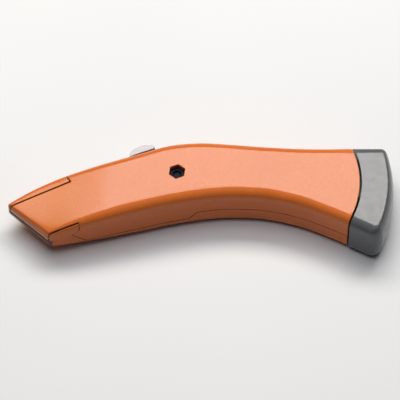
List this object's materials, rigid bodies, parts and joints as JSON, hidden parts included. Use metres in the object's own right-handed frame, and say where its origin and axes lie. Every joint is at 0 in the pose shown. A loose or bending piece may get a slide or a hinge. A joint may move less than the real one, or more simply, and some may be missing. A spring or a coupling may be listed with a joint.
{
  "type": "retractable utility knife",
  "caption": "Retractable utility knife lying on its side: two painted cast shells with a tapered nose, a trapezoid blade on a thumb-button slide, and a grey butt cap with a pull-out blade tray.",
  "frame": {"origin": "centre of the outline in X and Y, on the plane of the flat outer face the knife lies on", "axes": "+X towards the butt, +Y towards the thumb button, +Z through the thickness away from the resting face"},
  "size_m": [0.185, 0.0544, 0.024],
  "materials": {
    "paint": "glossy powder coat",
    "steel": "ground",
    "spring_steel": "rolled",
    "black_steel": "black oxide",
    "dark_grey": "satin",
    "light_grey": "satin"
  },
  "bodies": {
    "handle": {"left_shell": "paint", "right_shell": "paint", "hex_nut": "black_steel", "screw_washer": "steel", "locating_pins": "steel", "detent_strip": "spring_steel", "tray_catch": "spring_steel"},
    "screw": {"closing_screw": "black_steel"},
    "slider": {"blade_carrier": "light_grey", "blade_clip": "spring_steel", "clip_rivets": "steel", "blade": "steel", "button_pin": "steel", "button_spring": "spring_steel"},
    "button": {"button_lever": "black_steel", "thumb_button": "light_grey"},
    "magazine": {"end_cap": "dark_grey", "blade_tray": "dark_grey", "tray_rivets": "steel", "spare_blade_1": "steel", "spare_blade_2": "steel", "spare_blade_3": "steel", "spare_blade_4": "steel", "spare_blade_5": "steel"}
  },
  "joints": [
    {"name": "blade_slide", "type": "slide", "parent": "handle", "child": "slider", "axis": [-0.9636, -0.2672, 0], "range_m": [0, 0.027]},
    {"name": "button_tilt", "type": "hinge", "parent": "slider", "child": "button", "pos_m": [-0.03024, 0.01374, 0.012], "axis": [0, 0, -1], "range_deg": [0, 3], "stiffness_Nm_per_rad": 0.6, "springref_deg": -3.44},
    {"name": "magazine_slide", "type": "slide", "parent": "handle", "child": "magazine", "axis": [1, 0, 0], "range_m": [0, 0.07]},
    {"name": "screw_turn", "type": "hinge", "parent": "handle", "child": "screw", "pos_m": [-0.011, 0.0075, 0.012], "axis": [0, 0, 1], "continuous": true}
  ]
}
